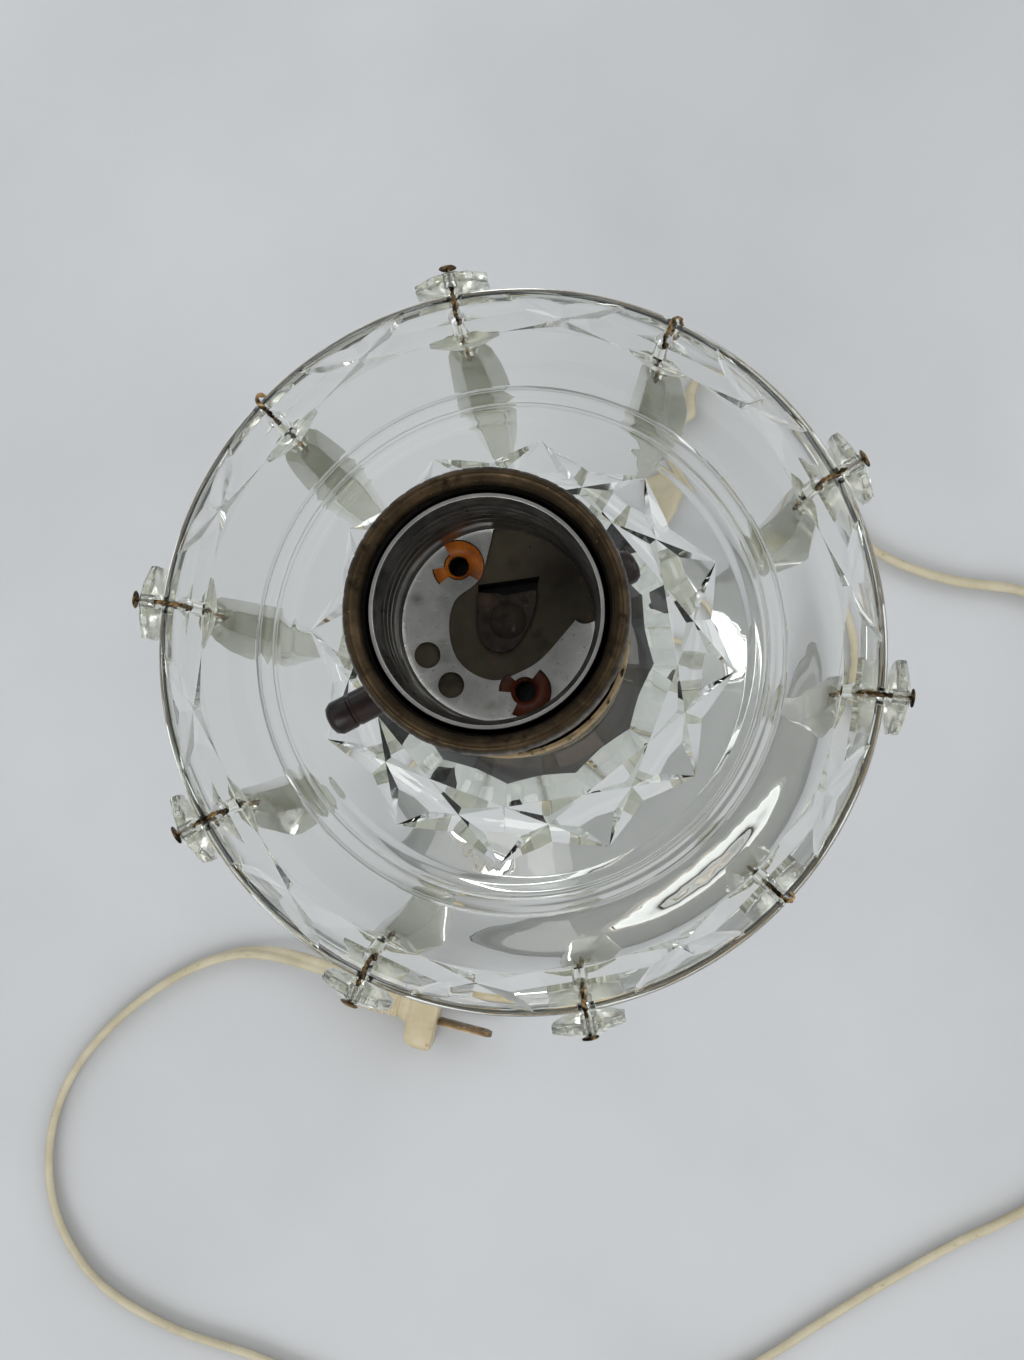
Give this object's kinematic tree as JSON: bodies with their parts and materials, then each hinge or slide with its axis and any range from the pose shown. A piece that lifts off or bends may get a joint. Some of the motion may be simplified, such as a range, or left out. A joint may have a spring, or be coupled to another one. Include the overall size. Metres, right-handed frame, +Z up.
{
  "type": "boudoir table lamp",
  "caption": "Small clear-glass table lamp: domed foot, ball-knopped column, star-cut dish hung with spear drops, push-through socket and a flat cord with plug.",
  "frame": {"origin": "on the table under the column's axis, at the centre of the foot's flat underside", "axes": "+Z up along the column, +X to the right and +Y to the top of the picture"},
  "size_m": [0.3648, 0.3075, 0.305],
  "materials": {
    "clear_glass": "polished pressed glass with cut stars",
    "drop_glass": "moulded and polished facets, slightly frosted",
    "aged_brass": "darkened, worn to gold at the edges",
    "bright_brass": "plain",
    "blade_brass": "tarnished",
    "contact_metal": "dark, dull",
    "drop_wire": "dark bronze",
    "steel": "plain",
    "aluminium": "spun, satin",
    "bakelite": "polished phenolic",
    "fibre": "vulcanised fibre",
    "black_fibre": "insulating paper",
    "amber": "glossy resin",
    "rubber": "soft translucent",
    "cream_lead": "aged flexible insulation",
    "cream_plug": "yellowed moulding"
  },
  "bodies": {
    "lamp": {"glass_foot": "clear_glass", "glass_column": "clear_glass", "glass_dish": "clear_glass", "threaded_pipe": "steel", "foot_washer": "steel", "foot_nut": "steel", "cap_set_screw": "steel", "foot_gasket": "rubber", "dish_gasket": "rubber", "check_ring": "aged_brass", "socket_neck": "aged_brass", "socket_cap": "aged_brass", "socket_shell": "aged_brass", "shell_liner": "black_fibre", "switch_body": "bakelite", "terminal_screw_live": "bright_brass", "terminal_screw_neutral": "steel", "fibre_disc": "fibre", "screw_shell": "aluminium", "centre_contact": "contact_metal", "amber_bushing_1": "amber", "amber_bushing_2": "amber", "inner_lead": "cream_lead", "cord_lamp_side": "cream_lead", "cord_coil": "cream_lead", "cord_plug_side": "cream_lead", "plug_body": "cream_plug", "plug_blade_1": "blade_brass", "plug_blade_2": "blade_brass", "hanger_pin_1": "drop_wire", "hanger_pin_2": "drop_wire", "hanger_pin_3": "drop_wire", "hanger_pin_4": "drop_wire", "hanger_pin_5": "drop_wire", "hanger_pin_6": "drop_wire", "hanger_pin_7": "drop_wire", "hanger_pin_8": "drop_wire", "hanger_pin_9": "drop_wire", "hanger_pin_10": "drop_wire"},
    "push_rod": {"push_rod": "bakelite"},
    "octagon_bead_1": {"octagon_bead_1": "drop_glass"},
    "spear_drop_1": {"spear_drop_1": "drop_glass"},
    "octagon_bead_2": {"octagon_bead_2": "drop_glass"},
    "spear_drop_2": {"spear_drop_2": "drop_glass"},
    "octagon_bead_3": {"octagon_bead_3": "drop_glass"},
    "spear_drop_3": {"spear_drop_3": "drop_glass"},
    "octagon_bead_4": {"octagon_bead_4": "drop_glass"},
    "spear_drop_4": {"spear_drop_4": "drop_glass"},
    "octagon_bead_5": {"octagon_bead_5": "drop_glass"},
    "spear_drop_5": {"spear_drop_5": "drop_glass"},
    "octagon_bead_6": {"octagon_bead_6": "drop_glass"},
    "spear_drop_6": {"spear_drop_6": "drop_glass"},
    "octagon_bead_7": {"octagon_bead_7": "drop_glass"},
    "spear_drop_7": {"spear_drop_7": "drop_glass"},
    "octagon_bead_8": {"octagon_bead_8": "drop_glass"},
    "spear_drop_8": {"spear_drop_8": "drop_glass"},
    "octagon_bead_9": {"octagon_bead_9": "drop_glass"},
    "spear_drop_9": {"spear_drop_9": "drop_glass"},
    "octagon_bead_10": {"octagon_bead_10": "drop_glass"},
    "spear_drop_10": {"spear_drop_10": "drop_glass"}
  },
  "joints": [
    {"name": "push_rod_slide", "type": "slide", "parent": "lamp", "child": "push_rod", "axis": [0.8878, 0.4602, 0], "range_m": [0, 0.007]},
    {"name": "bead_1_on_pin", "type": "hinge", "parent": "lamp", "child": "octagon_bead_1", "pos_m": [0.0518, 0.02824, 0.2384], "axis": [0.878, 0.4787, 0], "range_deg": [-18, 18]},
    {"name": "spear_1_on_hook", "type": "hinge", "parent": "lamp", "child": "spear_drop_1", "pos_m": [0.04636, 0.02527, 0.2302], "axis": [0.878, 0.4787, 0], "range_deg": [-9, 9]},
    {"name": "bead_2_on_pin", "type": "hinge", "parent": "lamp", "child": "octagon_bead_2", "pos_m": [0.02265, 0.0477, 0.2302], "axis": [0.4289, 0.9033, 0], "range_deg": [-5, 5]},
    {"name": "spear_2_on_bead", "type": "hinge", "parent": "octagon_bead_2", "child": "spear_drop_2", "pos_m": [0.02265, 0.0477, 0.22205], "axis": [0.4289, 0.9033, 0], "range_deg": [-6, 6]},
    {"name": "bead_3_on_pin", "type": "hinge", "parent": "lamp", "child": "octagon_bead_3", "pos_m": [-0.01085, 0.05799, 0.2384], "axis": [-0.184, 0.9829, 0], "range_deg": [-18, 18]},
    {"name": "spear_3_on_hook", "type": "hinge", "parent": "lamp", "child": "spear_drop_3", "pos_m": [-0.00971, 0.0519, 0.2302], "axis": [-0.184, 0.9829, 0], "range_deg": [-9, 9]},
    {"name": "bead_4_on_pin", "type": "hinge", "parent": "lamp", "child": "octagon_bead_4", "pos_m": [-0.03836, 0.03628, 0.2302], "axis": [-0.7266, 0.6871, 0], "range_deg": [-5, 5]},
    {"name": "spear_4_on_bead", "type": "hinge", "parent": "octagon_bead_4", "child": "spear_drop_4", "pos_m": [-0.03836, 0.03628, 0.22205], "axis": [-0.7266, 0.6871, 0], "range_deg": [-6, 6]},
    {"name": "bead_5_on_pin", "type": "hinge", "parent": "lamp", "child": "octagon_bead_5", "pos_m": [-0.05851, 0.0076, 0.2384], "axis": [-0.9917, 0.1288, 0], "range_deg": [-18, 18]},
    {"name": "spear_5_on_hook", "type": "hinge", "parent": "lamp", "child": "spear_drop_5", "pos_m": [-0.05236, 0.0068, 0.2302], "axis": [-0.9917, 0.1288, 0], "range_deg": [-9, 9]},
    {"name": "bead_6_on_pin", "type": "hinge", "parent": "lamp", "child": "octagon_bead_6", "pos_m": [-0.0518, -0.02824, 0.2384], "axis": [-0.878, -0.4787, 0], "range_deg": [-18, 18]},
    {"name": "spear_6_on_hook", "type": "hinge", "parent": "lamp", "child": "spear_drop_6", "pos_m": [-0.04636, -0.02527, 0.2302], "axis": [-0.878, -0.4787, 0], "range_deg": [-9, 9]},
    {"name": "bead_7_on_pin", "type": "hinge", "parent": "lamp", "child": "octagon_bead_7", "pos_m": [-0.02531, -0.0533, 0.2384], "axis": [-0.4289, -0.9033, 0], "range_deg": [-18, 18]},
    {"name": "spear_7_on_hook", "type": "hinge", "parent": "lamp", "child": "spear_drop_7", "pos_m": [-0.02265, -0.0477, 0.2302], "axis": [-0.4289, -0.9033, 0], "range_deg": [-9, 9]},
    {"name": "bead_8_on_pin", "type": "hinge", "parent": "lamp", "child": "octagon_bead_8", "pos_m": [0.01085, -0.05799, 0.2384], "axis": [0.184, -0.9829, 0], "range_deg": [-18, 18]},
    {"name": "spear_8_on_hook", "type": "hinge", "parent": "lamp", "child": "spear_drop_8", "pos_m": [0.00971, -0.0519, 0.2302], "axis": [0.184, -0.9829, 0], "range_deg": [-9, 9]},
    {"name": "bead_9_on_pin", "type": "hinge", "parent": "lamp", "child": "octagon_bead_9", "pos_m": [0.03836, -0.03628, 0.2302], "axis": [0.7266, -0.6871, 0], "range_deg": [-5, 5]},
    {"name": "spear_9_on_bead", "type": "hinge", "parent": "octagon_bead_9", "child": "spear_drop_9", "pos_m": [0.03836, -0.03628, 0.22205], "axis": [0.7266, -0.6871, 0], "range_deg": [-6, 6]},
    {"name": "bead_10_on_pin", "type": "hinge", "parent": "lamp", "child": "octagon_bead_10", "pos_m": [0.05851, -0.0076, 0.2384], "axis": [0.9917, -0.1288, 0], "range_deg": [-18, 18]},
    {"name": "spear_10_on_hook", "type": "hinge", "parent": "lamp", "child": "spear_drop_10", "pos_m": [0.05236, -0.0068, 0.2302], "axis": [0.9917, -0.1288, 0], "range_deg": [-9, 9]}
  ]
}
